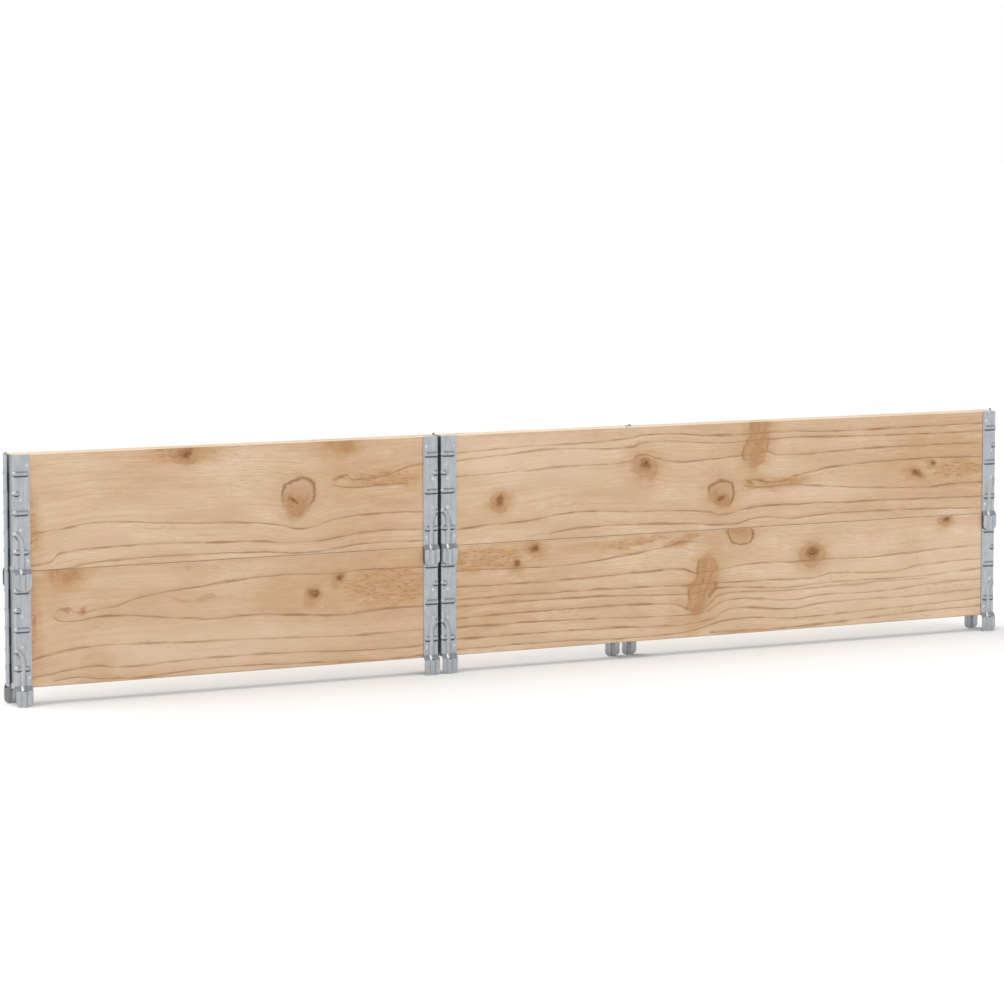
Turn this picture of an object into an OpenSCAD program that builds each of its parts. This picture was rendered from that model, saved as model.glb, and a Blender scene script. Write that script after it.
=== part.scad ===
// Folding wooden pallet collar, shown as two collars stacked and folded flat.
// Each collar has four pine boards and four steel corner hinges. A hinge is a pair
// of pressed leaves rolled into knuckles on one loose pin. Each leaf wraps a board
// end and drops a joggled foot that hooks over the pallet or the collar below.
// Frame: +X along the folded length, +Y to the back, +Z up, feet on Z = 0.

/* [Collar] */
// Pin to pin along a long side (mm)
pin_long = 1200; // [900:10:1400]
// Pin to pin along a short side (mm)
pin_short = 800; // [500:10:880]
// Height of one board
board_h = 195; // [150:1:300]
// Thickness of a board
board_t = 18; // [15:0.5:30]
// Easing radius along the long edges of a board
board_edge_r = 1.5; // [0.5:0.1:3]
// Easing radius of the upright edges at a board's ends
board_end_r = 2.2; // [1.8:0.1:3]
// Room between the knuckles and the board that lies behind them when folded flat
knuckle_room = 0.35; // [0.2:0.05:2]
// Gap left between the stacked collars
stack_gap = 0.3; // [0.2:0.1:2]

/* [Hinge leaf] */
// Thickness of the leaf's sheet steel
sheet = 1.5; // [1:0.1:2]
// Inside radius of the bend round the board end
bend_r = 1.5; // [1:0.1:1.8]
// Width of the leaf on the outer face of a board
leaf_w = 29.8; // [26:0.1:45]
// How far the web stops short of the board's inner face
web_short = 0.4; // [0.2:0.1:3]
// How far the web lies outside the knuckle's hole
web_set = 0.55; // [0.2:0.05:0.9]
// Drop of the foot below the board
foot_drop = 31; // [22:0.5:40]
// Outward step of the foot
foot_step = 5.3; // [4.5:0.1:9]
// Height over which the foot steps out
joggle_h = 8; // [7:0.5:12]
// Corner radius at the end of the foot
foot_corner_r = 9; // [3:0.5:11]

/* [Pressed beads] */
// Width of a bead on the sheet
bead_w = 9.6; // [7:0.1:10.5]
// Height of a bead over the sheet
bead_h = 2.2; // [1.8:0.1:3]
// How far a bead's knob stands past the web at the bend
knob_out = 1; // [0.5:0.1:1.5]
// Plain margin between the end of a full bead and the leaf's outer edge
bead_margin = 2.5; // [2:0.5:8]
// Straight length of the short bead past the knob at the bend
short_bead_run = 1; // [0.5:0.5:6]
// Radius of the arch that leads the upright ridge in from the bend
arch_r = 27; // [14:0.5:40]
// How far the arch's top sits below its step
arch_drop = 3; // [0:0.5:5]
// How far the upright ridge sits from the leaf's middle towards the web
ridge_set = 0.9; // [0:0.1:2]

/* [Knuckles and pins] */
// Diameter of the hinge pin
pin_d = 4.5; // [4:0.1:6]
// Clearance round the pin in its knuckles
pin_clear = 0.1; // [0.05:0.05:0.3]
// Height of the pin's tip over the board
pin_proud = 4; // [1:0.5:6]
// Height of the pin's lower end over the board's bottom edge
pin_lift = 7; // [7:0.5:14]
// Height of the upset head at the pin's lower end
pin_head_h = 1.6; // [1:0.1:3]
// How far the upset head stays inside the outside of the knuckles
pin_head_inset = 0.4; // [0.2:0.1:0.8]
// Chamfer at the pin's tip
pin_chamfer = 0.8; // [0.3:0.1:1.5]
// Number of knuckles on one hinge, both leaves together
knuckle_count = 6; // [4:2:8]
// Gap between neighbouring knuckles along the pin
knuckle_gap = 0.5; // [0.3:0.1:1]
// Open seam between the end of a roll and the web
roll_seam = 0.5; // [0.3:0.1:0.8]

/* [Nails] */
// Shank diameter of a nail
nail_d = 2.8; // [2:0.1:3.6]
// Length of the shank under the head
nail_l = 16; // [10:0.5:16]
// Diameter of the flat head
nail_head_d = 6; // [5:0.1:8]
// Thickness of the flat head
nail_head_h = 0.9; // [0.5:0.1:1.2]
// Clearance round the shank
nail_clear = 0.05; // [0.02:0.01:0.1]
// Inset of the outer nails from the leaf's outer edge
nail_edge = 5.2; // [4:0.1:8]
// Distance of the inner nails from the web
nail_inset = 12; // [9:0.1:14]
// Room left past a nail's point
nail_room = 0.5; // [0.2:0.1:1]

/* [Hidden] */
$fn = 48;
pine = [0.87, 0.75, 0.62];
zinc = [0.69, 0.70, 0.72];
dull_steel = [0.45, 0.46, 0.48];

// Rolled knuckle round the pin, with the web that it grows out of.
knuckle_in_r = pin_d / 2 + pin_clear;
knuckle_out_r = knuckle_in_r + sheet;
web_x = knuckle_in_r + web_set;
board_x = web_x + sheet;
knuckle_z0 = pin_lift + pin_head_h;
knuckle_pitch = (board_h - knuckle_z0 + knuckle_gap) / knuckle_count;
pin_head_r = knuckle_out_r - pin_head_inset;

// Distances from the folded middle plane to a board's faces and the leaf's outside.
inner_face = knuckle_out_r + knuckle_room;
outer_face = inner_face + board_t;
leaf_face = outer_face + sheet;
web_stop = inner_face + web_short;
bend_out_r = bend_r + sheet;

// The leaf's features sit on six equal steps down the board.
step = board_h / 6;
leaf_edge_x = web_x + leaf_w;
bead_r = (bead_w * bead_w / 4 + bead_h * bead_h) / (2 * bead_h);
bead_sink = bead_r - bead_h;
// Rounded ends swell a little past the bead, and a knob goes through this share of the sheet.
bead_fuller = 0.15;
knob_share = 0.9;
knob_x = web_x + bead_r - knob_out;
full_bead_end_x = leaf_edge_x - bead_margin - bead_w / 2;
short_bead_end_x = knob_x + short_bead_run;
ridge_x = web_x + leaf_w / 2 - ridge_set;
arch_angle = acos(1 - (ridge_x - knob_x) / arch_r);
arch_top_z = board_h - 4 * step - arch_drop;
arch_foot_z = arch_top_z - arch_r * sin(arch_angle);

// The foot keeps this much straight edge between its round corners.
foot_flat = 2;
foot_r = min(foot_corner_r, (leaf_w - foot_flat) / 2);

// Nail places on a leaf: [x from the pin's axis, height over the board's bottom edge].
// The outer nails stand near the top and the foot, the inner ones between the beads, at these shares of the
// board's height.
outer_nail_share = [0.91, 0.092];
inner_nail_share = [0.617, 0.358];
nail_spots = [
    for (share = outer_nail_share) [leaf_edge_x - nail_edge, share * board_h],
    for (share = inner_nail_share) [web_x + nail_inset, share * board_h]
];

// Rectangle with all four corners rounded by true arcs.
module rounded_rect(size, r) {
    translate([r, 0]) square([size.x - 2 * r, size.y]);
    translate([0, r]) square([size.x, size.y - 2 * r]);
    for (x = [r, size.x - r], y = [r, size.y - r])
        translate([x, y]) circle(r = r);
}

// Places children on the leaf's outer face: x along the board, y up, z outwards.
module on_leaf_face(step_out = 0) {
    translate([0, -leaf_face - step_out, 0])
        rotate([90, 0, 0])
            children();
}

// A run of nail-sized rods along the board's thickness at one leaf's nail places.
module at_nails() {
    for (spot = nail_spots)
        translate([spot.x, 0, spot.y])
            rotate([90, 0, 0])
                children();
}

// Both ends of a panel: children are drawn for the left leaf and mirrored to the right.
module both_ends(pin_span) {
    children();
    translate([pin_span, 0, 0])
        mirror([1, 0, 0])
            children();
}

// Board of one side, drawn from the left pin's axis with its outer face towards -Y.
module board(pin_span) {
    length = pin_span - 2 * board_x;
    difference() {
        intersection() {
            translate([board_x, -outer_face, 0])
                linear_extrude(board_h)
                    rounded_rect([length, board_t], board_end_r);
            translate([board_x, -outer_face, 0])
                rotate([90, 0, 90])
                    linear_extrude(length)
                        rounded_rect([board_t, board_h], board_edge_r);
        }
        both_ends(pin_span)
            at_nails()
                translate([0, 0, outer_face - nail_l + sheet - nail_room])
                    cylinder(d = nail_d + 2 * nail_clear, h = nail_l + sheet);
    }
}

// Cross-section of a pressed bead, sunk into half of the sheet.
module bead_section(fuller = 0) {
    intersection() {
        translate([0, -bead_sink]) circle(r = bead_r + fuller);
        translate([-2 * bead_r, -sheet / 2]) square([4 * bead_r, bead_h + sheet]);
    }
}

// Rounded end of a bead, a little fuller than the bead itself.
module bead_end() {
    intersection() {
        translate([0, 0, -bead_sink]) sphere(r = bead_r + bead_fuller);
        translate([-2 * bead_r, -2 * bead_r, -sheet / 2])
            cube([4 * bead_r, 4 * bead_r, bead_h + sheet]);
    }
}

// Straight bead along the leaf face from x0 to x1, rounded off at x1.
module level_bead(x0, x1, y) {
    translate([x0, y, 0])
        rotate([90, 0, 90])
            linear_extrude(x1 - x0)
                bead_section();
    translate([x1, y, 0]) bead_end();
}

// Ball where a bead runs out over the bend, kept clear of the board inside.
module bend_knob(z) {
    depth = knob_share * sheet;
    size = 3 * bead_r;
    difference() {
        translate([knob_x, -leaf_face + bead_sink, z]) sphere(r = bead_r + bead_fuller);
        translate([web_x + depth, -leaf_face + depth, z - size / 2]) cube(size);
    }
}

// Plan of the flange, bend and web that wrap the end of the board.
module wrap_plan() {
    translate([web_x + bend_out_r, -leaf_face])
        square([leaf_w - bend_out_r, sheet]);
    intersection() {
        translate([web_x + bend_out_r, -leaf_face + bend_out_r])
            difference() {
                circle(r = bend_out_r);
                circle(r = bend_r);
            }
        translate([web_x, -leaf_face]) square(bend_out_r);
    }
    translate([web_x, -leaf_face + bend_out_r])
        square([sheet, leaf_face - bend_out_r - web_stop]);
}

// Wrapped sheet; below the start of the joggle only the web goes on.
module leaf_wrap() {
    flat_z = joggle_h / 2;
    translate([0, 0, flat_z])
        linear_extrude(board_h - flat_z)
            wrap_plan();
    translate([web_x, -leaf_face + bend_out_r, 0])
        cube([sheet, leaf_face - bend_out_r - web_stop, board_h / 2]);
}

// Side view of the joggled foot: out over the edge below, then plumb to its end.
module foot_profile() {
    half = joggle_h / 2;
    polygon([
        [-leaf_face, half],
        [-leaf_face - foot_step, -half],
        [-leaf_face - foot_step, -foot_drop],
        [-outer_face - foot_step, -foot_drop],
        [-outer_face - foot_step, -half],
        [-outer_face, half]
    ]);
}

// Front view of the foot, with the rounded corners at its end.
module foot_front() {
    translate([web_x, foot_r - foot_drop]) square([leaf_w, foot_drop + joggle_h - foot_r]);
    translate([web_x + foot_r, -foot_drop]) square([leaf_w - 2 * foot_r, 2 * foot_r]);
    for (x = [web_x + foot_r, leaf_edge_x - foot_r])
        translate([x, foot_r - foot_drop]) circle(r = foot_r);
}

// Foot plate, cut to its front view.
module foot() {
    intersection() {
        translate([web_x, 0, 0])
            rotate([90, 0, 90])
                linear_extrude(leaf_w)
                    foot_profile();
        on_leaf_face(-leaf_face)
            linear_extrude(2 * leaf_face)
                foot_front();
    }
}

// Upright ridge: down the flange, over the joggle and to the end of the foot.
module foot_ridge() {
    half = joggle_h / 2;
    slope_l = norm([foot_step, joggle_h]);
    on_leaf_face()
        translate([ridge_x, arch_foot_z + bead_fuller, 0])
            rotate([90, 0, 0])
                linear_extrude(arch_foot_z + bead_fuller - half)
                    bead_section(bead_fuller);
    translate([ridge_x, -leaf_face, half])
        rotate([-atan(foot_step / joggle_h), 0, 0])
            rotate([180, 0, 0])
                linear_extrude(slope_l)
                    bead_section();
    on_leaf_face(foot_step)
        translate([ridge_x, -half, 0])
            rotate([90, 0, 0])
                linear_extrude(foot_drop - half)
                    bead_section(bead_fuller);
}

// Hollow behind the foot's ridge, left by the pressing.
module foot_hollow() {
    translate([ridge_x, -leaf_face - foot_step + bead_sink, -foot_drop - 1])
        cylinder(r = bead_r - sheet, h = foot_drop + 1 - joggle_h);
}

// Beads on the flange: three full, one short, and the arch into the upright ridge.
module leaf_beads() {
    for (n = [1, 2, 3, 5])
        bend_knob(board_h - n * step);
    bend_knob(arch_top_z);
    on_leaf_face() {
        for (n = [1, 3, 5])
            level_bead(knob_x, full_bead_end_x, board_h - n * step);
        level_bead(knob_x, short_bead_end_x, board_h - 2 * step);
        translate([ridge_x - arch_r, arch_foot_z, 0])
            rotate_extrude(angle = arch_angle)
                translate([arch_r, 0]) bead_section();
    }
}

// Rolled knuckles of one leaf: every second place along the pin, from the first given.
module leaf_knuckles(first) {
    for (n = [first : 2 : knuckle_count - 1])
        translate([0, 0, knuckle_z0 + n * knuckle_pitch])
            linear_extrude(knuckle_pitch - knuckle_gap) {
                difference() {
                    circle(r = knuckle_out_r);
                    circle(r = knuckle_in_r);
                    translate([web_x - roll_seam, -2 * knuckle_out_r])
                        square([2 * knuckle_out_r, 2 * knuckle_out_r]);
                }
                translate([web_x, -web_stop - sheet]) square([sheet, web_stop + sheet]);
            }
}

// One pressed leaf for the left end of a panel; first = 0 takes the lowest knuckle.
module leaf(first) {
    difference() {
        union() {
            leaf_wrap();
            foot();
            foot_ridge();
            leaf_beads();
            leaf_knuckles(first);
        }
        foot_hollow();
        at_nails()
            translate([0, 0, outer_face - 1])
                cylinder(d = nail_d + 2 * nail_clear, h = sheet + 2);
    }
}

// The left leaf of a panel carries the pin; the right one turns on its neighbour's pin.
module left_leaf() {
    leaf(0);
}

module right_leaf(pin_span) {
    translate([pin_span, 0, 0])
        mirror([1, 0, 0])
            leaf(1);
}

// Eight nails of one panel, four through each leaf.
module nails(pin_span) {
    point_h = nail_d;
    both_ends(pin_span)
        at_nails()
            translate([0, 0, leaf_face]) {
                cylinder(d = nail_head_d, h = nail_head_h);
                translate([0, 0, point_h - nail_l])
                    cylinder(d = nail_d, h = nail_l - point_h);
                translate([0, 0, -nail_l])
                    cylinder(d1 = nail_d / 4, d2 = nail_d, h = point_h);
            }
}

// Loose pin at the left end of a panel, upset at the bottom and chamfered at the tip.
module hinge_pin() {
    shank_top = board_h + pin_proud - pin_chamfer;
    translate([0, 0, pin_lift]) cylinder(r = pin_head_r, h = pin_head_h);
    translate([0, 0, pin_lift]) cylinder(d = pin_d, h = shank_top - pin_lift);
    translate([0, 0, shank_top])
        cylinder(d1 = pin_d, d2 = pin_d - 2 * pin_chamfer, h = pin_chamfer);
}

// Places of the two collars and of the four panels of a collar, folded flat.
module lower() {
    translate([0, 0, foot_drop]) children();
}

module upper() {
    translate([0, 0, foot_drop + board_h + stack_gap]) children();
}

module front_short() {
    translate([-(pin_long + pin_short) / 2, 0, 0]) children();
}

module front_long() {
    translate([(pin_short - pin_long) / 2, 0, 0]) children();
}

module back_short() {
    rotate([0, 0, 180]) front_short() children();
}

module back_long() {
    rotate([0, 0, 180]) front_long() children();
}

// Lower collar
module lower_front_short_board() color(pine) lower() front_short() board(pin_short);
module lower_front_short_left_leaf() color(zinc) lower() front_short() left_leaf();
module lower_front_short_right_leaf() color(zinc) lower() front_short() right_leaf(pin_short);
module lower_front_short_nails() color(dull_steel) lower() front_short() nails(pin_short);
module lower_front_short_pin() color(dull_steel) lower() front_short() hinge_pin();
module lower_front_long_board() color(pine) lower() front_long() board(pin_long);
module lower_front_long_left_leaf() color(zinc) lower() front_long() left_leaf();
module lower_front_long_right_leaf() color(zinc) lower() front_long() right_leaf(pin_long);
module lower_front_long_nails() color(dull_steel) lower() front_long() nails(pin_long);
module lower_front_long_pin() color(dull_steel) lower() front_long() hinge_pin();
module lower_back_short_board() color(pine) lower() back_short() board(pin_short);
module lower_back_short_left_leaf() color(zinc) lower() back_short() left_leaf();
module lower_back_short_right_leaf() color(zinc) lower() back_short() right_leaf(pin_short);
module lower_back_short_nails() color(dull_steel) lower() back_short() nails(pin_short);
module lower_back_short_pin() color(dull_steel) lower() back_short() hinge_pin();
module lower_back_long_board() color(pine) lower() back_long() board(pin_long);
module lower_back_long_left_leaf() color(zinc) lower() back_long() left_leaf();
module lower_back_long_right_leaf() color(zinc) lower() back_long() right_leaf(pin_long);
module lower_back_long_nails() color(dull_steel) lower() back_long() nails(pin_long);
module lower_back_long_pin() color(dull_steel) lower() back_long() hinge_pin();

// Upper collar
module upper_front_short_board() color(pine) upper() front_short() board(pin_short);
module upper_front_short_left_leaf() color(zinc) upper() front_short() left_leaf();
module upper_front_short_right_leaf() color(zinc) upper() front_short() right_leaf(pin_short);
module upper_front_short_nails() color(dull_steel) upper() front_short() nails(pin_short);
module upper_front_short_pin() color(dull_steel) upper() front_short() hinge_pin();
module upper_front_long_board() color(pine) upper() front_long() board(pin_long);
module upper_front_long_left_leaf() color(zinc) upper() front_long() left_leaf();
module upper_front_long_right_leaf() color(zinc) upper() front_long() right_leaf(pin_long);
module upper_front_long_nails() color(dull_steel) upper() front_long() nails(pin_long);
module upper_front_long_pin() color(dull_steel) upper() front_long() hinge_pin();
module upper_back_short_board() color(pine) upper() back_short() board(pin_short);
module upper_back_short_left_leaf() color(zinc) upper() back_short() left_leaf();
module upper_back_short_right_leaf() color(zinc) upper() back_short() right_leaf(pin_short);
module upper_back_short_nails() color(dull_steel) upper() back_short() nails(pin_short);
module upper_back_short_pin() color(dull_steel) upper() back_short() hinge_pin();
module upper_back_long_board() color(pine) upper() back_long() board(pin_long);
module upper_back_long_left_leaf() color(zinc) upper() back_long() left_leaf();
module upper_back_long_right_leaf() color(zinc) upper() back_long() right_leaf(pin_long);
module upper_back_long_nails() color(dull_steel) upper() back_long() nails(pin_long);
module upper_back_long_pin() color(dull_steel) upper() back_long() hinge_pin();

PANELS = ["front_short", "front_long", "back_short", "back_long"];
PIECES = ["board", "left_leaf", "right_leaf", "nails", "pin"];

lower_front_short_board();
lower_front_short_left_leaf();
lower_front_short_right_leaf();
lower_front_short_nails();
lower_front_short_pin();
lower_front_long_board();
lower_front_long_left_leaf();
lower_front_long_right_leaf();
lower_front_long_nails();
lower_front_long_pin();
lower_back_short_board();
lower_back_short_left_leaf();
lower_back_short_right_leaf();
lower_back_short_nails();
lower_back_short_pin();
lower_back_long_board();
lower_back_long_left_leaf();
lower_back_long_right_leaf();
lower_back_long_nails();
lower_back_long_pin();
upper_front_short_board();
upper_front_short_left_leaf();
upper_front_short_right_leaf();
upper_front_short_nails();
upper_front_short_pin();
upper_front_long_board();
upper_front_long_left_leaf();
upper_front_long_right_leaf();
upper_front_long_nails();
upper_front_long_pin();
upper_back_short_board();
upper_back_short_left_leaf();
upper_back_short_right_leaf();
upper_back_short_nails();
upper_back_short_pin();
upper_back_long_board();
upper_back_long_left_leaf();
upper_back_long_right_leaf();
upper_back_long_nails();
upper_back_long_pin();
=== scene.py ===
import math

import bpy
import bmesh
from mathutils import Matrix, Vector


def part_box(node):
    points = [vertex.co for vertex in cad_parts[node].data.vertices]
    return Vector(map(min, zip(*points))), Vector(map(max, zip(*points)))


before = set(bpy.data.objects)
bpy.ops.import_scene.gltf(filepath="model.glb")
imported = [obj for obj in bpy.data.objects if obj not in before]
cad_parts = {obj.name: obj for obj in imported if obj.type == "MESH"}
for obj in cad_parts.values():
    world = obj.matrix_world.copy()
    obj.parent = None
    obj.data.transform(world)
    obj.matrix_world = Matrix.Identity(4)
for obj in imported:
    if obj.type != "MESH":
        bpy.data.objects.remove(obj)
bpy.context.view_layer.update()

MM = 0.001
TIERS = ("lower", "upper")
PANELS = ("front_short", "front_long", "back_short", "back_long")

# Grain of the boards that face the front, in millimetres from the panel's left pin and the board's lower edge.
# A line is a row of points (along, up), and one that ends inside the board fades out there. A knot is
# (along, up, length, height, turn in degrees, kind), and a paler part (along, up, length, height, how pale).
# Depth shifts the board to a deeper or paler tone.
BOARD_GRAIN = {
    "upper_front_short": {
        "depth": 0.0,
        "pale": [(220, 50, 460, 90, 0.25)],
        "lines": [
            [(0, 60), (77, 66), (149, 75), (277, 68), (451, 59), (490, 54), (532, 46), (582, 56), (620, 62),
             (800, 61)],
            [(0, 10), (64, 12), (85, 26), (172, 33), (415, 29), (560, 22), (640, 32), (800, 31)],
            [(0, 2), (94, 1), (125, 6), (211, 11), (451, 9), (560, 4), (650, 13), (800, 10)],
            [(590, 121), (603, 131), (619, 134), (628, 126), (683, 129), (742, 143), (800, 152)],
            [(590, 121), (603, 115), (635, 112), (700, 115), (755, 111)],
        ],
        "knots": [
            (527, 104, 66, 62, -12, "ringed"),
            (514, 96, 54, 15, -38, "slit"),
            (312, 185, 56, 34, 10, "tight"),
            (312, 188, 100, 34, 0, "resin"),
            (25, 70, 36, 90, 0, "resin"),
            (609, 197, 68, 52, 16, "brush"),
            (525, 85, 54, 46, 0, "amber"),
            (606, 131, 30, 9, -12, "dash"),
            (690, 124, 120, 26, 0, "resin"),
            (650, 40, 90, 40, 0, "stain"),
            (700, 122, 190, 80, 0, "stain"),
        ],
    },
    "lower_front_short": {
        "depth": 0.3,
        "pale": [(350, 48, 600, 100, 0.75), (230, 170, 200, 40, 0.5)],
        "lines": [
            [(73, 116), (81, 126), (100, 130), (110, 122), (174, 127), (225, 139), (327, 151), (498, 163),
             (600, 160), (640, 162), (800, 158)],
            [(73, 116), (86, 109), (113, 107), (184, 112), (259, 105), (340, 96), (476, 96), (600, 86),
             (688, 92), (800, 90)],
            [(0, 40), (73, 54), (104, 60), (327, 58), (541, 52), (640, 49), (800, 53)],
            [(0, 11), (85, 23), (151, 29), (178, 25), (326, 28), (502, 27), (674, 21), (800, 24)],
            [(70, 8), (112, 12), (160, 6), (218, 4), (340, 10), (515, 8), (647, 3), (800, 6)],
        ],
        "knots": [
            (94, 192, 74, 52, 16, "brush"),
            (90, 126, 22, 10, -10, "dash"),
            (126, 122, 22, 14, 20, "dash"),
            (150, 22, 40, 50, 0, "stain"),
            (303, 131, 46, 7, 3, "faint"),
            (354, 130, 54, 8, 3, "faint"),
            (553, 122, 42, 32, 20, "bud"),
            (604, 150, 28, 32, -30, "bud"),
            (38, 109, 7, 36, 8, "dash"),
            (24, 105, 36, 130, 0, "resin"),
            (700, 130, 150, 58, 0, "resin"),
            (690, 142, 220, 80, 0, "stain"),
            (540, 124, 150, 60, 0, "stain"),
        ],
    },
    "upper_front_long": {
        "depth": 0.05,
        "pale": [(180, 148, 440, 110, 1.0), (820, 60, 300, 60, 0.5)],
        "lines": [
            [(0, 162), (172, 169), (389, 175), (422, 180), (601, 172), (695, 174), (850, 171), (1200, 174)],
            [(0, 146), (84, 153), (244, 162), (389, 159), (420, 166), (601, 159), (695, 162), (974, 158),
             (1200, 158)],
            [(0, 121), (137, 125), (244, 130), (389, 133), (411, 144), (444, 137), (482, 129), (601, 132),
             (650, 134), (676, 140), (707, 132), (893, 136), (1200, 135)],
            [(634, 78), (653, 88), (677, 83), (716, 82), (743, 91), (854, 106), (1015, 111), (1200, 108)],
            [(634, 78), (657, 73), (735, 75), (798, 70), (1036, 57), (1098, 60), (1200, 60)],
            [(0, 22), (83, 32), (172, 36), (280, 47), (390, 42), (557, 34), (578, 27), (638, 36), (895, 37),
             (1200, 32)],
            [(222, 10), (251, 15), (316, 19), (501, 15), (605, 8), (669, 18), (736, 13), (831, 17),
             (1200, 10)],
        ],
        "knots": [
            (119, 71, 40, 36, 0, "tight"),
            (644, 83, 26, 9, -8, "dash"),
            (705, 80, 110, 18, 0, "resin"),
            (418, 125, 60, 50, -15, "tight"),
            (659, 158, 52, 110, -16, "fan"),
            (661, 153, 6, 16, -12, "slit"),
            (584, 65, 54, 54, -30, "ringed"),
            (583, 54, 46, 34, -8, "amber"),
            (578, 58, 26, 22, 0, "tight"),
            (1009, 84, 54, 26, -14, "bud"),
            (1050, 104, 28, 28, -35, "bud"),
            (1115, 88, 110, 30, 4, "resin"),
            (1080, 112, 240, 110, 0, "stain"),
        ],
    },
    "lower_front_long": {
        "depth": -0.05,
        "pale": [(940, 66, 700, 170, 0.8), (1110, 110, 260, 150, 1.0)],
        "lines": [
            [(0, 150), (172, 148), (244, 147), (353, 156), (471, 170), (501, 176), (548, 173)],
            [(0, 122), (230, 121), (427, 126), (501, 127), (530, 118), (560, 120), (690, 129), (748, 126),
             (816, 128), (896, 126), (1079, 133), (1200, 136)],
            [(0, 98), (190, 100), (502, 97), (698, 96), (788, 94), (816, 99), (977, 96), (1018, 103),
             (1200, 109)],
            [(0, 84), (190, 88), (390, 85), (502, 80), (590, 87), (737, 79), (800, 84), (977, 83), (1200, 92)],
            [(0, 64), (244, 68), (483, 63), (530, 50), (590, 76), (700, 74), (876, 77), (1050, 79)],
            [(0, 48), (244, 49), (500, 42), (545, 44), (600, 64), (745, 56), (801, 61), (937, 60), (1059, 68),
             (1200, 71)],
            [(0, 28), (354, 28), (500, 24), (560, 30), (610, 48), (737, 40), (797, 46), (978, 46), (1200, 52)],
            [(0, 9), (244, 11), (390, 7), (502, 10), (620, 28), (738, 22), (897, 25), (1200, 35)],
            [(560, 6), (698, 4), (817, 7), (1019, 16), (1200, 18)],
        ],
        "knots": [
            (192, 180, 48, 32, -10, "bud"),
            (500, 181, 70, 14, 8, "resin"),
            (400, 182, 110, 12, 4, "resin"),
            (154, 155, 28, 28, 25, "bud"),
            (622, 186, 58, 38, 180, "ringed"),
            (544, 94, 54, 122, -20, "fan"),
            (500, 64, 50, 60, 0, "stain"),
            (544, 102, 6, 17, -20, "slit"),
            (782, 136, 48, 46, 20, "tight"),
            (330, 176, 170, 20, 0, "stain"),
            (1085, 184, 34, 30, 0, "tight"),
            (90, 168, 150, 34, 0, "resin"),
            (90, 84, 190, 70, 0, "stain"),
        ],
    },
}

# How strongly each kind of knot shows its parts: its warm halo, the dark flecks round it, its body, the rings or
# strokes inside the body, its rim and its heart
KNOT_KINDS = {
    "tight": {"halo": 0.70, "body": 0.85, "inside": 0.10, "rim": 0.25, "heart": 1.0},
    "bud": {"halo": 0.70, "body": 0.45, "heart": 1.0},
    "ringed": {"halo": 0.50, "body": 1.0, "inside": 0.10, "rim": 0.80},
    "slit": {"body": 0.50, "heart": 1.0},
    "fan": {"halo": 0.70, "body": 0.95, "inside": 0.45, "rim": 0.55},
    "brush": {"halo": 0.85, "body": 1.0, "inside": 0.55},
    "dash": {"body": 0.75, "heart": 0.45},
    "faint": {"body": 0.45},
    "resin": {"halo": 0.80, "flecks": 1.0, "body": 0.20},
    "amber": {"halo": 0.50, "body": 1.0},
    "stain": {"halo": 0.45},
}
KNOT_PARTS = ("halo", "flecks", "body", "rim", "heart")

# Where the parts of a knot start to fade and where they end, in half sizes of the knot from their middle
KNOT_FADE = {"halo": (0.7, 2.2), "flecks": (0.8, 1.4), "body": (0.5, 1.25), "heart": (0.1, 0.7)}

# The same for the bodies of the knots that were cut lengthwise
STROKE_FADE = {"fan": (0.8, 1.12), "brush": (0.6, 1.2)}

# Where a knot's heart and its rim lie, and the rim's half width, in half sizes of the knot from its middle
HEART_ASIDE = (0.14, 0.12, 0.0)
RIM_AT = 0.95
RIM_HALF_WIDTH = 0.17

# How far the outline of a knot wanders in long and in short waves, in millimetres
KNOT_SWING = 24.0
KNOT_RIPPLE = 6.0

# How quickly the rings inside a knot follow each other, how its strokes are drawn out across and along, and the
# noise between which a stroke comes up
RING_PACE = 16.0
STROKE_DRAWN = (3.2, 0.7, 1.0)
STROKE_NOISE = (0.38, 0.6)

# Every ramp from here on is two values and what comes out at the first and at the second, smooth between them.
# Knots: gaps in a rim, the flanks that carry a rim, a ringed knot's open rim and fuller lower half, the rough body
# and the smeared halo
RIM_GAPS = (0.38, 0.56, 0.1, 1.0)
RIM_FLANKS = (0.45, 0.75, 0.0, 1.0)
RINGED_RIM = (-0.8, 0.0, 0.1, 1.0)
RINGED_BODY = (-0.5, 0.5, 1.15, 0.35)
KNOT_ROUGH = (0.3, 0.6, 0.55, 1.0)
HALO_SMEAR = (0.3, 0.6, 0.35, 1.0)

# Growth lines: their strength and thinness after their noise, their edge, and the shade over them, in millimetres
LINE_STRENGTH = (0.3, 0.65, 0.35, 1.0)
LINE_THINNESS = (0.3, 0.7, 1.7, 0.6)
LINE_EDGE = (0.3, 2.7, 1.0, 0.0)
SHADE_FOOT = (-1.0, 0.0, 0.0, 1.0)
SHADE_TOP = (0.0, 15.0, 1.0, 0.0)

# How far a growth line sways, and over what length it fades where it starts or ends inside the board,
# in millimetres
LINE_SWAY = 4.0
LINE_START_FADE = 5.0
LINE_END_FADE = 30.0

# How far outside the board the grain is straight, in millimetres, and how far it climbs on its way into the board
STRAIGHT_GRAIN = 20.0
GRAIN_CLIMB = 0.35

# The grain points count from the pin, and the board starts this far from it, in millimetres
BOARD_FROM_PIN = 4.4

# The value that a noise has on average
NOISE_MIDDLE = 0.5

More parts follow.
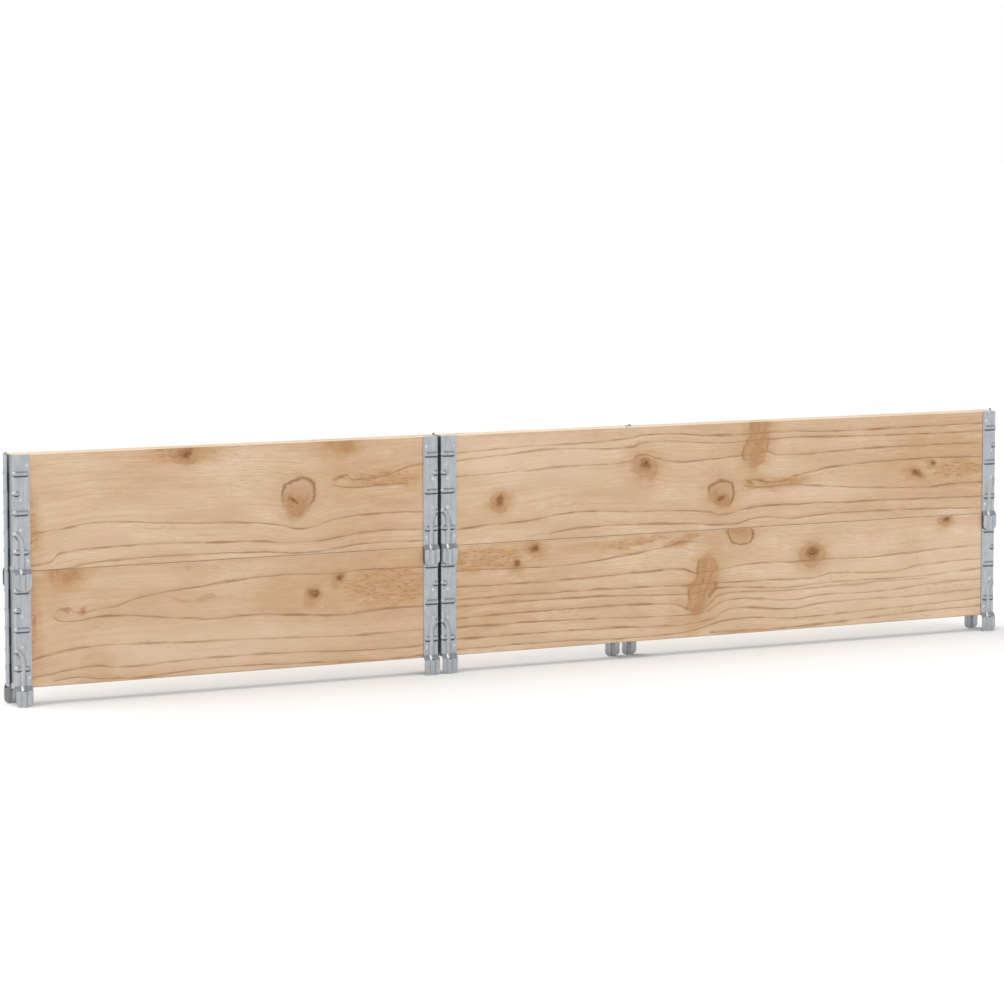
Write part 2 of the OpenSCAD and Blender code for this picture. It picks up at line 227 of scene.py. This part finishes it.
# Patterns in a board's face, for its lines and knots: the slice of noise that they take, the size of their patches
# along and up the board in millimetres, and their detail
FACE_PATTERNS = {
    "line_sway": (0.0, 60, 30, 2.0),
    "line_strength": (0.0, 45, 9, 2.0),
    "line_thinness": (60.0, 70, 12, 1.0),
    "swing_along": (0.0, 38, 32, 1.0),
    "swing_up": (40.0, 38, 32, 1.0),
    "ripple_along": (20.0, 9, 7, 2.0),
    "ripple_up": (60.0, 9, 7, 2.0),
    "rim_gaps": (80.0, 24, 24, 1.0),
    "knot_rough": (120.0, 6, 3, 3.0),
    "halo_smear": (160.0, 40, 8, 3.0),
}

# Patterns that follow the growth lines: the size of their patches along, across and into the board in millimetres,
# and their detail
GRAIN_PATTERNS = {
    "cloud": ((170, 45, 60), 3.0),
    "band": ((420, 9, 14), 3.0),
    "streak": ((140, 2.6, 5), 3.0),
    "fibre": ((22, 1.8, 2.0), 3.0),
    "fleck": ((13, 2.6, 3.0), 2.0),
}

# Patterns that lie freely over the growth lines, in the same way
FREE_PATTERNS = {
    "warmth": ((80, 40, 40), 2.0),
    "flecked": ((120, 40, 50), 1.0),
}


def paint(red, green, blue):
    """A colour written on the screen's 0 to 255 scale, as the linear colour that a shader takes."""
    linear = []
    for level in (red, green, blue):
        share = level / 255.0
        linear.append(share / 12.92 if share <= 0.04045 else ((share + 0.055) / 1.055) ** 2.4)
    return (*linear, 1.0)


def grey(level):
    return (level, level, level, 1.0)


# Colours of the pine
PINE_PALE = paint(220, 194, 166)
PINE_DEEP = paint(200, 168, 136)
PINE_ROSY = paint(214, 176, 151)
PINE_STRAW = paint(209, 182, 143)
PINE_BLEACHED = paint(227, 205, 181)
PINE_BAND = paint(194, 159, 122)
PINE_STREAK = paint(186, 151, 115)
PINE_FIBRE = paint(190, 158, 127)
PINE_RESIN = paint(186, 145, 100)
PINE_FLECK = paint(152, 110, 70)
PINE_LATE = paint(140, 105, 69)
# painted shade for the board's rounded edges, along its top and its bottom
PINE_EDGE_SHADE = paint(168, 132, 94)
# painted light: the greyer top colour, standing in for the strong light from above
PINE_TOP_LIGHT = paint(200, 190, 170)
KNOT_BODY = paint(174, 130, 90)
KNOT_RIM = paint(138, 101, 66)
KNOT_HEART = paint(124, 82, 46)

# Tints that the patterns lay over the wood, one after the other: the pattern, its ramp and the tint
WOOD_TINTS = (
    ("warmth", (0.5, 0.7, 0.0, 0.7), PINE_ROSY),
    ("warmth", (0.3, 0.48, 0.7, 0.0), PINE_STRAW),
    ("band", (0.48, 0.75, 0.0, 0.55), PINE_BAND),
    ("streak", (0.5, 0.74, 0.0, 0.55), PINE_STREAK),
    ("fibre", (0.3, 0.75, 0.0, 0.5), PINE_FIBRE),
)

# Tone of the whole board: how far its depth shifts it, and the ramp from the pale to the deep wood
DEPTH_SHIFT = 0.4
DEEP_WOOD = (0.3, 0.7, 0.0, 1.0)

# How strongly the shade over a line, a paler part and the flecks show
SHADE_SHARE = 0.35
PALE_SHARE = 0.4
FLECK_SHARE = 0.7

# Where a paler part fades, in half sizes from its middle, and how strongly lines show from plain to pale wood
PALE_FADE = (0.3, 1.2)
LATE_ON_PALE = (0.0, 1.0, 0.76, 0.56)

# Flecks: their edge, and the patches of plain wood that have some
FLECK_EDGE = (0.54, 0.64, 0.0, 1.0)
FLECKED_WOOD = (0.5, 0.7, 0.0, 0.35)

# Edges: painted shade along the arris under the board's top and over its bottom, in millimetres from them, and how
# far a face looks up where that painted shade ends and where the greyer top, painted for the light from above,
# starts
TOP_EDGE_SHADE = (1.5, 3.5, 0.12, 0.0)
BOTTOM_EDGE_SHADE = (0.0, 3.0, 0.05, 0.0)
EDGE_SHADE_FACE = (0.3, 0.6, 1.0, 0.0)
TOP_LIGHT_FACE = (0.5, 0.9, 0.0, 0.75)

# Feel of the pine: its roughness after the fibre, its gloss, and how high the late wood stands over the fibre
PINE_ROUGHNESS = (0.3, 0.7, 0.6, 0.78)
PINE_GLOSS = 0.3
LATE_RELIEF = 1.5
PINE_RELIEF = 0.1 * MM
PINE_BUMP = 0.4

# Galvanised sheet: its colours, the spangle's flakes, the marks rubbed along it, and its tone
ZINC_DULL = paint(169, 173, 177)
ZINC_BRIGHT = paint(183, 187, 190)
# painted shade: the dark colour laid into the sheet's creases and under its beads
ZINC_PAINTED_SHADE = paint(58, 61, 66)
FLAKE_SIZE = 5.0
FLAKE_SHARE = 0.18
RUB_MARKS = ((6, 6, 40), 4.0)
ZINC_TONE = (0.35, 0.85, 0.0, 1.0)
ZINC_ROUGHNESS = (0.35, 0.9, 0.44, 0.36)
ZINC_RELIEF = 0.04 * MM
ZINC_BUMP = 0.4

# Painted shade on the sheet: under the beads, after how far a face looks up, and in the creases that ambient
# occlusion finds
UNDER_PAINTED_SHADE = (-0.55, -0.08, 0.9, 0.0)
CREASE_PAINTED_SHADE = (0.72, 0.96, 0.6, 0.0)
CREASE_SHADE_REACH = 5 * MM
CREASE_SHADE_SAMPLES = 8

# Nails and pins: bright and tarnished steel, how rough the bright steel is and how much rougher the tarnish
NAIL_BRIGHT = paint(208, 211, 214)
NAIL_TARNISHED = paint(184, 187, 190)
NAIL_ROUGHNESS = 0.36
PIN_BRIGHT = paint(168, 171, 175)
PIN_TARNISHED = paint(138, 140, 144)
PIN_ROUGHNESS = 0.32
TARNISH_ROUGHER = 0.15
TARNISH = (0.4, 0.7, 0.0, 1.0)
TARNISH_FEEL = (0.35, 0.7)
TARNISH_NOISE = {"scale": 0.35, "detail": 3.0, "roughness": 0.6}
STEEL_RELIEF = 0.05 * MM
STEEL_BUMP = 0.5
METAL = 0.9


class Finish:
    """A material, and short words for the shader nodes that its pattern is made of."""

    def __init__(self, name):
        self.material = bpy.data.materials.new(name)
        self.material.use_nodes = True
        self.nodes = self.material.node_tree.nodes
        self.links = self.material.node_tree.links
        self.nodes.clear()
        self.surface = self.nodes.new("ShaderNodeBsdfPrincipled")
        output = self.nodes.new("ShaderNodeOutputMaterial")
        self.links.new(self.surface.outputs["BSDF"], output.inputs["Surface"])

    def feed(self, socket, value):
        """Gives a socket its value: another node's output, or a plain number or colour."""
        if isinstance(value, bpy.types.NodeSocket):
            self.links.new(value, socket)
        else:
            socket.default_value = value

    def look(self, values):
        """Gives the surface its own values, by the names of its sockets."""
        for name, value in values.items():
            self.feed(self.surface.inputs[name], value)

    def vector(self, operation, first, second=(0.0, 0.0, 0.0)):
        node = self.nodes.new("ShaderNodeVectorMath")
        node.operation = operation
        self.feed(node.inputs[0], first)
        self.feed(node.inputs[1], second)
        return node.outputs["Value" if operation in ("LENGTH", "DISTANCE") else "Vector"]

    def split(self, vector):
        parts = self.nodes.new("ShaderNodeSeparateXYZ")
        self.feed(parts.inputs[0], vector)
        return parts.outputs["X"], parts.outputs["Y"], parts.outputs["Z"]

    def point(self, x, y, z):
        joined = self.nodes.new("ShaderNodeCombineXYZ")
        for socket, value in zip(joined.inputs, (x, y, z)):
            self.feed(socket, value)
        return joined.outputs[0]

    def place(self):
        """The surface point in the object's own frame, in millimetres, as three numbers."""
        where = self.nodes.new("ShaderNodeTexCoord")
        return self.split(self.vector("MULTIPLY", where.outputs["Object"], (1.0 / MM, 1.0 / MM, 1.0 / MM)))

    def upward(self):
        """How far the surface looks up: 1 on top, 0 on an upright face, -1 underneath."""
        facing = self.nodes.new("ShaderNodeNewGeometry")
        return self.split(facing.outputs["Normal"])[2]

    def sum(self, operation, first, second=0.0, third=0.0):
        node = self.nodes.new("ShaderNodeMath")
        node.operation = operation
        for socket, value in zip(node.inputs, (first, second, third)):
            self.feed(socket, value)
        return node.outputs[0]

    def times(self, first, second):
        return self.sum("MULTIPLY", first, second)

    def larger(self, first, second):
        return self.sum("MAXIMUM", first, second)

    def ramp(self, value, low, high, at_low, at_high):
        """A smooth change from at_low to at_high as the value goes from low to high, level outside."""
        node = self.nodes.new("ShaderNodeMapRange")
        node.interpolation_type = "SMOOTHSTEP"
        for key, given in zip(("Value", "From Min", "From Max", "To Min", "To Max"),
                              (value, low, high, at_low, at_high)):
            self.feed(node.inputs[key], given)
        return node.outputs[0]

    def noise(self, vector, detail, scale=1.0, roughness=0.5):
        node = self.nodes.new("ShaderNodeTexNoise")
        for key, given in zip(("Vector", "Scale", "Detail", "Roughness"), (vector, scale, detail, roughness)):
            self.feed(node.inputs[key], given)
        return node.outputs["Fac"]

    def patches(self, place, sizes, detail):
        """Noise whose patches have about the given sizes in millimetres, one for each number of the place."""
        return self.noise(self.point(*(self.sum("DIVIDE", *pair) for pair in zip(place, sizes))), detail)

    def face_pattern(self, name, along, up):
        part, long, tall, detail = FACE_PATTERNS[name]
        return self.patches((along, up, part), (long, tall, 1.0), detail)

    def mix(self, share, first, second):
        node = self.nodes.new("ShaderNodeMix")
        node.data_type = "RGBA"
        for key, given in ((0, share), (6, first), (7, second)):
            self.feed(node.inputs[key], given)
        return node.outputs[2]

    def course(self, value, points):
        """A smooth line through given points, both ways on a 0 to 1 scale."""
        node = self.nodes.new("ShaderNodeFloatCurve")
        knees = node.mapping.curves[0].points
        for number, (x, y) in enumerate(points):
            if number < len(knees):
                knees[number].location = (x, y)
            else:
                knees.new(x, y)
        node.mapping.update()
        self.feed(node.inputs["Value"], value)
        return node.outputs[0]

    def bump(self, height, distance, strength):
        node = self.nodes.new("ShaderNodeBump")
        self.feed(node.inputs["Height"], height)
        node.inputs["Distance"].default_value = distance
        node.inputs["Strength"].default_value = strength
        self.links.new(node.outputs[0], self.surface.inputs["Normal"])


def pine(tier, panel):
    """Planed pine with the grain of one board. A back board has the grain of the other tier's front board, turned
    upside down."""
    finish = Finish(f"pine_{tier}_{panel}")
    low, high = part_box(f"{tier}_{panel}_board")
    x, y, z = finish.place()
    along = finish.sum("SUBTRACT", x, low.x / MM - BOARD_FROM_PIN)
    over_bottom = finish.sum("SUBTRACT", z, low.z / MM)
    under_top = finish.sum("SUBTRACT", high.z / MM, z)
    if panel.startswith("front"):
        grain = BOARD_GRAIN[f"{tier}_{panel}"]
        into, up = finish.sum("SUBTRACT", y, low.y / MM), over_bottom
    else:
        other = "upper" if tier == "lower" else "lower"
        grain = BOARD_GRAIN[f"{other}_{panel.replace('back', 'front')}"]
        into, up = finish.sum("SUBTRACT", high.y / MM, y), under_top
    span = (high.x - low.x) / MM + 2 * BOARD_FROM_PIN
    height = (high.z - low.z) / MM

    tilted = finish.sum("MULTIPLY_ADD", into, GRAIN_CLIMB, up)
    late, shade, flow = grain_lines(finish, grain["lines"], along, tilted, span, height)
    pale = pale_parts(finish, grain["pale"], along, up)
    knot = knots(finish, grain["knots"], along, up)
    wood = {name: finish.patches((along, flow, into), *made) for name, made in GRAIN_PATTERNS.items()}
    wood.update((name, finish.patches((along, up, into), *made)) for name, made in FREE_PATTERNS.items())

    tone = finish.sum("ADD", wood["cloud"], DEPTH_SHIFT * grain["depth"])
    colour = finish.mix(finish.ramp(tone, *DEEP_WOOD), PINE_PALE, PINE_DEEP)
    for name, ramp, tint in WOOD_TINTS:
        colour = finish.mix(finish.ramp(wood[name], *ramp), colour, tint)

    flecked = finish.larger(finish.ramp(wood["flecked"], *FLECKED_WOOD), knot["flecks"])
    flecks = finish.times(finish.ramp(wood["fleck"], *FLECK_EDGE), flecked)
    upward = finish.upward()
    # painted shade along the rounded edge under the top, left off the faces that look up
    top_edge_shade = finish.times(finish.ramp(under_top, *TOP_EDGE_SHADE), finish.ramp(upward, *EDGE_SHADE_FACE))
    for share, tint in (
        (finish.times(shade, SHADE_SHARE), PINE_BAND),
        (finish.times(pale, PALE_SHARE), PINE_BLEACHED),
        (knot["halo"], PINE_RESIN),
        (finish.times(flecks, FLECK_SHARE), PINE_FLECK),
        (finish.times(late, finish.ramp(pale, *LATE_ON_PALE)), PINE_LATE),
        (knot["body"], KNOT_BODY),
        (knot["rim"], KNOT_RIM),
        (knot["heart"], KNOT_HEART),
        (top_edge_shade, PINE_EDGE_SHADE),
        # painted light: the top faces greyed as if washed out by the light from above
        (finish.ramp(upward, *TOP_LIGHT_FACE), PINE_TOP_LIGHT),
        # painted shade along the bottom edge
        (finish.ramp(over_bottom, *BOTTOM_EDGE_SHADE), PINE_EDGE_SHADE),
    ):
        colour = finish.mix(share, colour, tint)

    finish.look({
        "Base Color": colour,
        "Roughness": finish.ramp(wood["fibre"], *PINE_ROUGHNESS),
        "Specular IOR Level": PINE_GLOSS,
    })
    finish.bump(finish.sum("MULTIPLY_ADD", late, LATE_RELIEF, wood["fibre"]), PINE_RELIEF, PINE_BUMP)
    return finish.material


def grain_lines(finish, lines, along, up, span, height):
    """How far a point lies in the dark late wood of a growth line and in the shade that fades away over it,
    and its height as it would be if every line that runs the whole board were straight."""
    sway = finish.sum("SUBTRACT", finish.face_pattern("line_sway", along, up), NOISE_MIDDLE)
    bent = finish.sum("MULTIPLY_ADD", sway, LINE_SWAY, up)
    strength = finish.ramp(finish.face_pattern("line_strength", along, up), *LINE_STRENGTH)
    thinness = finish.ramp(finish.face_pattern("line_thinness", along, up), *LINE_THINNESS)
    share = finish.sum("DIVIDE", along, span)
    late, shade = 0.0, 0.0
    below, above = -STRAIGHT_GRAIN, height + STRAIGHT_GRAIN
    whole = [(below, below), (above, above)]
    for points in lines:
        middle = finish.course(share, [(x / span, y / height) for x, y in points])
        offset = finish.sum("MULTIPLY_ADD", middle, -height, bent)
        line = finish.ramp(finish.times(finish.sum("ABSOLUTE", offset), thinness), *LINE_EDGE)
        over = finish.times(finish.ramp(offset, *SHADE_FOOT), finish.ramp(offset, *SHADE_TOP))
        first, last = points[0][0], points[-1][0]
        ends = []
        if first > 0:
            ends.append(finish.ramp(along, first - LINE_START_FADE, first + LINE_START_FADE, 0.0, 1.0))
        if last < round(span):
            ends.append(finish.ramp(along, last - LINE_END_FADE, last, 1.0, 0.0))
        for end in ends:
            line, over = finish.times(line, end), finish.times(over, end)
        if not ends:
            whole.append((sum(y for x, y in points) / len(points), finish.times(middle, height)))
        late = finish.larger(late, line)
        shade = finish.larger(shade, over)
    whole.sort(key=lambda line: line[0])
    flow = below
    for (low_mean, low), (high_mean, high) in zip(whole, whole[1:]):
        climb = finish.sum("DIVIDE", finish.sum("SUBTRACT", bent, low), finish.sum("SUBTRACT", high, low))
        climb = finish.sum("MINIMUM", finish.larger(climb, 0.0), 1.0)
        flow = finish.sum("MULTIPLY_ADD", climb, high_mean - low_mean, flow)
    return finish.times(late, strength), shade, flow


def from_middle(finish, spot, at, over, long, tall, turn=0.0):
    """Where a point lies in a patch's own frame, in half sizes from the patch's middle, and how far that is."""
    local = finish.nodes.new("ShaderNodeMapping")
    local.vector_type = "TEXTURE"
    local.inputs["Location"].default_value = (at, over, 0.0)
    local.inputs["Rotation"].default_value = (0.0, 0.0, math.radians(turn))
    local.inputs["Scale"].default_value = (long / 2, tall / 2, 1.0)
    finish.feed(local.inputs["Vector"], spot)
    return local.outputs[0], finish.vector("LENGTH", local.outputs[0])


def pale_parts(finish, parts, along, up):
    """How far a point lies in the paler parts of the board."""
    spot = finish.point(along, up, 0.0)
    pale = 0.0
    for at, over, long, tall, share in parts:
        reach = from_middle(finish, spot, at, over, long, tall)[1]
        pale = finish.larger(pale, finish.ramp(reach, *PALE_FADE, share, 0.0))
    return pale


def knots(finish, spots, along, up):
    """How strongly each part of the board's knots shows at a point."""
    wandered = []
    for way, value in (("along", along), ("up", up)):
        value = finish.sum("SUBTRACT", value, (KNOT_SWING + KNOT_RIPPLE) / 2)
        value = finish.sum("MULTIPLY_ADD", finish.face_pattern(f"swing_{way}", along, up), KNOT_SWING, value)
        value = finish.sum("MULTIPLY_ADD", finish.face_pattern(f"ripple_{way}", along, up), KNOT_RIPPLE, value)
        wandered.append(value)
    spot = finish.point(*wandered, 0.0)
    gaps = finish.ramp(finish.face_pattern("rim_gaps", along, up), *RIM_GAPS)
    shows = dict.fromkeys(KNOT_PARTS, 0.0)
    for at, over, long, tall, turn, kind in spots:
        local, reach = from_middle(finish, spot, at, over, long, tall, turn)
        shares = KNOT_KINDS[kind]
        for part in KNOT_PARTS:
            if part not in shares:
                continue
            if part == "body":
                strength = knot_body(finish, kind, local, reach)
            elif part == "rim":
                strength = knot_rim(finish, kind, local, reach, gaps)
            else:
                distance = finish.vector("DISTANCE", local, HEART_ASIDE) if part == "heart" else reach
                strength = finish.ramp(distance, *KNOT_FADE[part], shares[part], 0.0)
            shows[part] = finish.larger(shows[part], strength)
    rough = finish.ramp(finish.face_pattern("knot_rough", along, up), *KNOT_ROUGH)
    smear = finish.ramp(finish.face_pattern("halo_smear", along, up), *HALO_SMEAR)
    for part, worn in (("halo", smear), ("body", rough), ("heart", rough)):
        shows[part] = finish.times(shows[part], worn)
    return shows


def knot_body(finish, kind, local, reach):
    """The body of a knot, with strokes if it was cut lengthwise, and with rings if it was cut across."""
    shares = KNOT_KINDS[kind]
    inside = shares.get("inside", 0.0)
    if kind in STROKE_FADE:
        drawn = finish.noise(finish.vector("MULTIPLY", local, STROKE_DRAWN), detail=1.0)
        strokes = finish.ramp(drawn, *STROKE_NOISE, 1.0 - inside, 1.0)
        return finish.times(finish.ramp(reach, *STROKE_FADE[kind], shares["body"], 0.0), strokes)
    body = finish.ramp(reach, *KNOT_FADE["body"], shares["body"], 0.0)
    if inside:
        rings = finish.sum("SINE", finish.times(reach, RING_PACE))
        body = finish.times(body, finish.sum("MULTIPLY_ADD", rings, inside, 1.0 - inside))
    if kind == "ringed":
        body = finish.times(body, finish.ramp(finish.split(local)[1], *RINGED_BODY))
    return body


def knot_rim(finish, kind, local, reach, gaps):
    """The dark line round a knot: open below on a ringed knot, and broken on the others, which have it only at
    their flanks if they were cut lengthwise."""
    off_rim = finish.sum("ABSOLUTE", finish.sum("SUBTRACT", reach, RIM_AT))
    rim = finish.ramp(off_rim, 0.0, RIM_HALF_WIDTH, KNOT_KINDS[kind]["rim"], 0.0)
    across, upright, _ = finish.split(local)
    if kind == "ringed":
        return finish.times(rim, finish.ramp(upright, *RINGED_RIM))
    if kind in STROKE_FADE:
        rim = finish.times(rim, finish.ramp(finish.sum("ABSOLUTE", across), *RIM_FLANKS))
    return finish.times(rim, gaps)


def zinc_sheet():
    """Pressed galvanised sheet: satin zinc with a faint spangle and rubbed streaks, and painted shade in its
    creases and under its beads."""
    finish = Finish("galvanised_sheet")
    place = finish.place()
    spangle = finish.nodes.new("ShaderNodeTexVoronoi")
    finish.feed(spangle.inputs["Vector"], finish.point(*place))
    spangle.inputs["Scale"].default_value = 1.0 / FLAKE_SIZE
    flake = finish.nodes.new("ShaderNodeSeparateColor")
    finish.feed(flake.inputs[0], spangle.outputs["Color"])
    rubbed = finish.patches(place, *RUB_MARKS)
    tone = finish.sum("MULTIPLY_ADD", flake.outputs[0], FLAKE_SHARE, rubbed)
    # painted shade: ambient occlusion darkens the creases, and faces that look down are darkened too
    crease_shade = finish.nodes.new("ShaderNodeAmbientOcclusion")
    crease_shade.only_local = True
    crease_shade.samples = CREASE_SHADE_SAMPLES
    crease_shade.inputs["Distance"].default_value = CREASE_SHADE_REACH
    colour = finish.mix(finish.ramp(tone, *ZINC_TONE), ZINC_DULL, ZINC_BRIGHT)
    colour = finish.mix(finish.ramp(crease_shade.outputs["AO"], *CREASE_PAINTED_SHADE), colour, ZINC_PAINTED_SHADE)
    colour = finish.mix(finish.ramp(finish.upward(), *UNDER_PAINTED_SHADE), colour, ZINC_PAINTED_SHADE)
    finish.look({"Base Color": colour, "Metallic": METAL, "Roughness": finish.ramp(tone, *ZINC_ROUGHNESS)})
    finish.bump(rubbed, ZINC_RELIEF, ZINC_BUMP)
    return finish.material


def drawn_steel(name, bright, tarnished, roughness):
    """Plain drawn steel with a little tarnish."""
    finish = Finish(name)
    tarnish = finish.noise(finish.point(*finish.place()), **TARNISH_NOISE)
    finish.look({
        "Base Color": finish.mix(finish.ramp(tarnish, *TARNISH), bright, tarnished),
        "Metallic": METAL,
        "Roughness": finish.ramp(tarnish, *TARNISH_FEEL, roughness, roughness + TARNISH_ROUGHER),
    })
    finish.bump(tarnish, STEEL_RELIEF, STEEL_BUMP)
    return finish.material


def dress(node, material):
    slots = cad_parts[node].data.materials
    slots.clear()
    slots.append(material)


sheet = zinc_sheet()
nail_steel = drawn_steel("nail_steel", NAIL_BRIGHT, NAIL_TARNISHED, NAIL_ROUGHNESS)
pin_steel = drawn_steel("pin_steel", PIN_BRIGHT, PIN_TARNISHED, PIN_ROUGHNESS)
for tier in TIERS:
    for panel in PANELS:
        dress(f"{tier}_{panel}_board", pine(tier, panel))
        dress(f"{tier}_{panel}_left_leaf", sheet)
        dress(f"{tier}_{panel}_right_leaf", sheet)
        dress(f"{tier}_{panel}_nails", nail_steel)
        dress(f"{tier}_{panel}_pin", pin_steel)

# Floor: matt and pale grey, at its full paleness only where the camera or a shiny surface looks at it
FLOOR_HALF = 60.0
FLOOR_SEEN = grey(0.72)
FLOOR_BOUNCE = grey(0.35)
FLOOR_ROUGHNESS = 1.0
FLOOR_GLOSS = 0.0
floor_mesh = bpy.data.meshes.new("floor")
shape = bmesh.new()
bmesh.ops.create_grid(shape, x_segments=1, y_segments=1, size=FLOOR_HALF)
shape.to_mesh(floor_mesh)
shape.free()
floor = bpy.data.objects.new("floor", floor_mesh)
bpy.context.scene.collection.objects.link(floor)
floor_finish = Finish("floor_pale")
rays = floor_finish.nodes.new("ShaderNodeLightPath")
seen = floor_finish.larger(rays.outputs["Is Glossy Ray"], rays.outputs["Is Transmission Ray"])
seen = floor_finish.larger(rays.outputs["Is Camera Ray"], seen)
floor_finish.look({
    "Base Color": floor_finish.mix(seen, FLOOR_BOUNCE, FLOOR_SEEN),
    "Roughness": FLOOR_ROUGHNESS,
    "Specular IOR Level": FLOOR_GLOSS,
})
floor_mesh.materials.append(floor_finish.material)

# Studio dome: white round the horizon, dimmer higher up, as (sine of the height, level) points
DOME = ((0.0, 1.0), (0.42, 1.0), (0.62, 0.32), (0.88, 0.32), (1.0, 0.60))
world = bpy.data.worlds.new("studio")
bpy.context.scene.world = world
world.use_nodes = True
sky = world.node_tree.nodes
sky.clear()
join = world.node_tree.links.new
direction = sky.new("ShaderNodeTexCoord")
parts = sky.new("ShaderNodeSeparateXYZ")
levels = sky.new("ShaderNodeValToRGB")
background = sky.new("ShaderNodeBackground")
output = sky.new("ShaderNodeOutputWorld")
join(direction.outputs["Generated"], parts.inputs[0])
join(parts.outputs["Z"], levels.inputs[0])
join(levels.outputs[0], background.inputs["Color"])
join(background.outputs[0], output.inputs["Surface"])
stops = levels.color_ramp.elements
for number, (place, level) in enumerate(DOME):
    stop = stops[number] if number < len(stops) else stops.new(place)
    stop.position = place
    stop.color = grey(level)


def soft_lamp(name, turn, height, spread, strength, mirrored):
    """A broad lamp far away: turn to the right of the front, height over the floor and spread in degrees."""
    lamp = bpy.data.lights.new(name, "SUN")
    lamp.angle = math.radians(spread)
    lamp.energy = strength
    holder = bpy.data.objects.new(name, lamp)
    bpy.context.scene.collection.objects.link(holder)
    holder.rotation_euler = (math.radians(90 - height), 0.0, math.radians(turn))
    holder.visible_glossy = mirrored


soft_lamp("left_softbox", turn=-85, height=60, spread=70, strength=2.7, mirrored=True)
soft_lamp("front_fill", turn=20, height=25, spread=60, strength=1.2, mirrored=False)
soft_lamp("back_fill", turn=200, height=25, spread=60, strength=1.0, mirrored=False)

# Camera of the photograph's view: its place and reach in metres, its turn in radians, its lens in millimetres
LENS_PLACE = (-3.26462, -5.84754, 0.97082)
LENS_YAW = 0.50098
LENS_PITCH = 0.10086
LENS_LENGTH = 135.1
LENS_REACH = 200.0
SENSOR = 36.0
lens = bpy.data.cameras.new("photograph_view")
lens.lens = LENS_LENGTH
lens.sensor_width = SENSOR
lens.clip_end = LENS_REACH
camera = bpy.data.objects.new("photograph_view", lens)
camera.location = LENS_PLACE
camera.rotation_euler = (math.pi / 2 - LENS_PITCH, 0.0, -LENS_YAW)
bpy.context.scene.collection.objects.link(camera)
bpy.context.scene.camera = camera
bpy.context.scene.view_settings.view_transform = "Standard"
